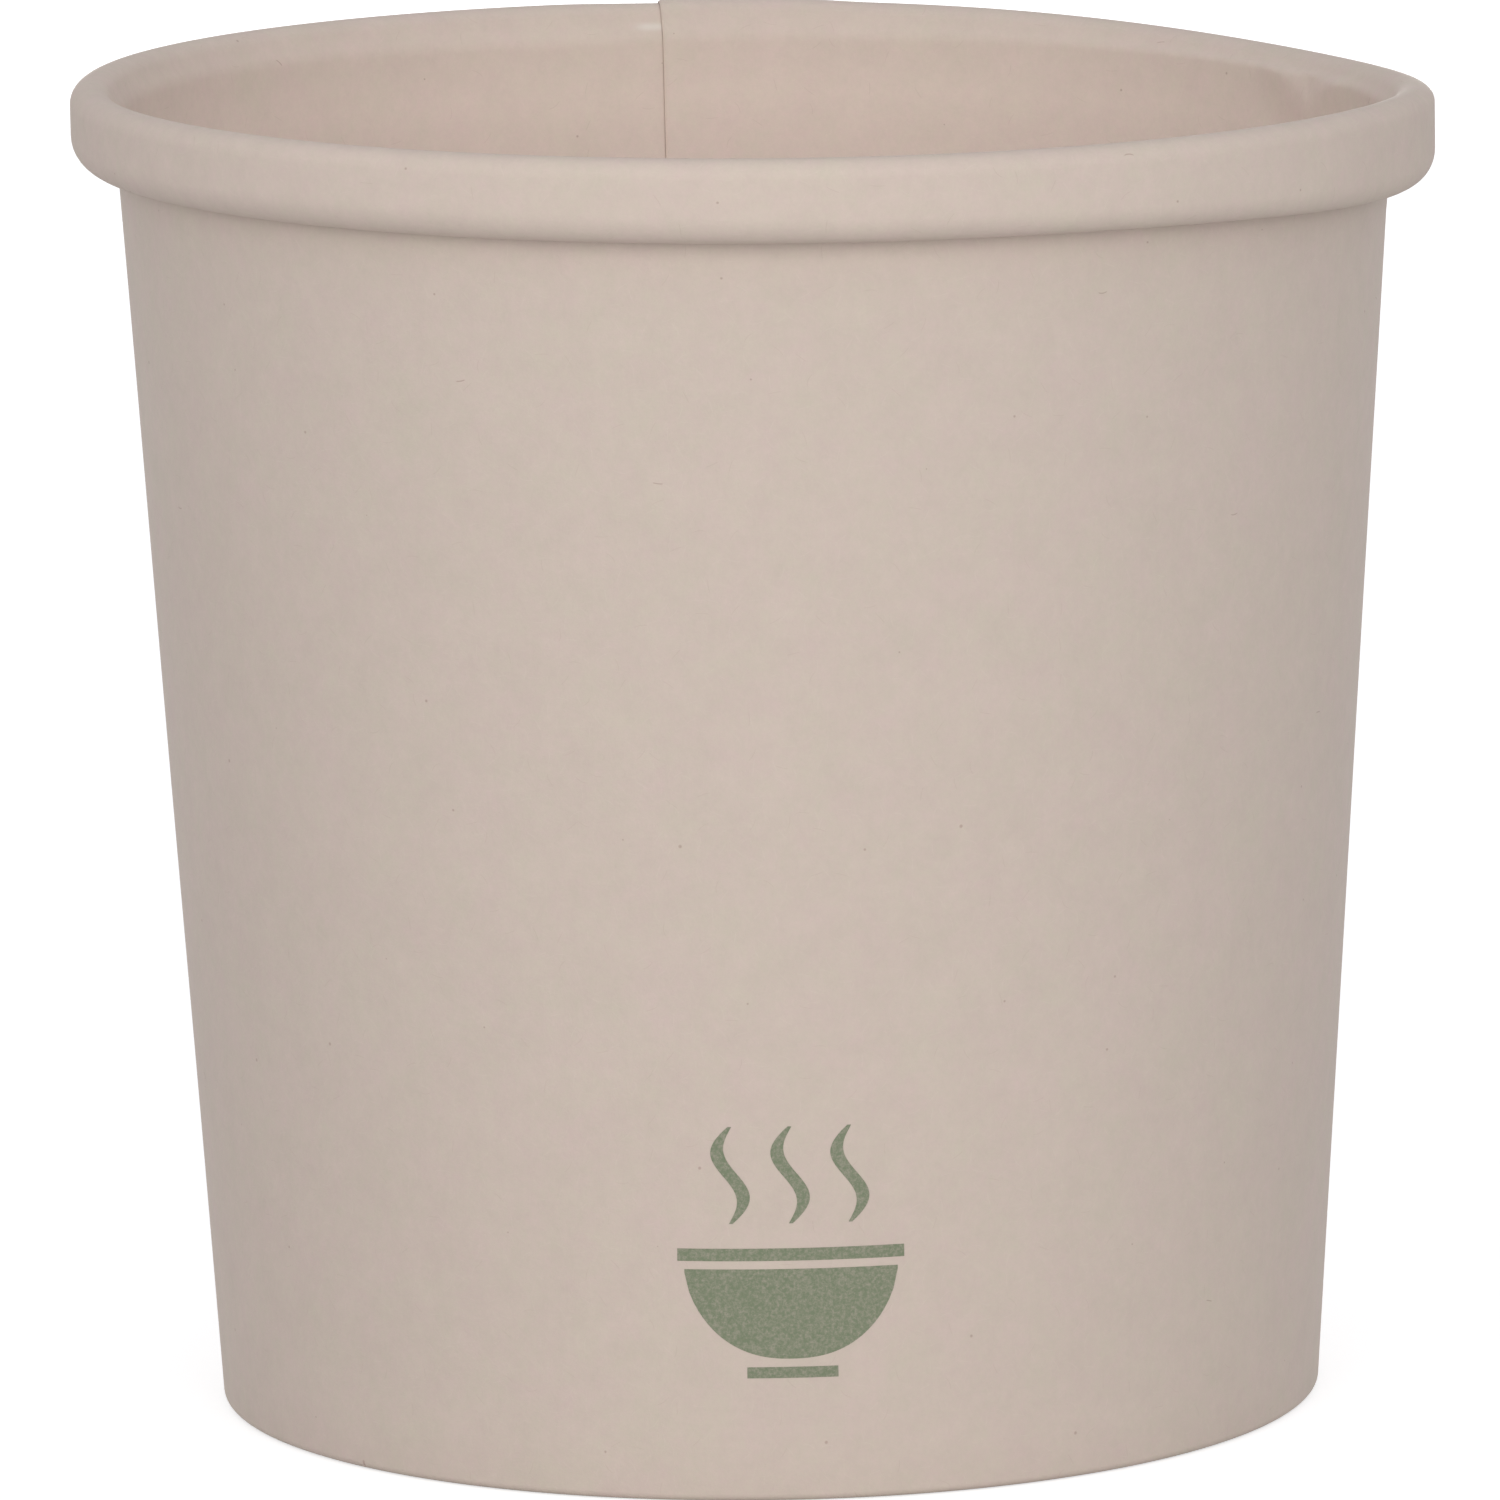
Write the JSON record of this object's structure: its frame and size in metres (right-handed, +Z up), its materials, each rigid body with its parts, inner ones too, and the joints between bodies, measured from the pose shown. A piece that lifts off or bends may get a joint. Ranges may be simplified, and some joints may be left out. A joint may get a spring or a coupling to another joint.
{
  "type": "paper soup cup",
  "caption": "Tapered paperboard soup cup with a rolled rim, a lapped side seam, a film-lined inside and a recessed base held in a folded foot, for hot soup or other food.",
  "frame": {"origin": "middle of the circle that the cup stands on", "axes": "+Z up the cup's axis, +Y towards the back, where the side seam is, and +X to the right"},
  "size_m": [0.098, 0.098, 0.096],
  "materials": {
    "board": "matte",
    "coated_board": "satin",
    "seal": "satin"
  },
  "bodies": {
    "root": {"side_wall": "board", "base": "board", "wall_film": "coated_board", "base_film": "coated_board", "side_seam_seal": "seal", "base_seam_seal": "seal", "hem_seal": "seal"}
  },
  "joints": []
}
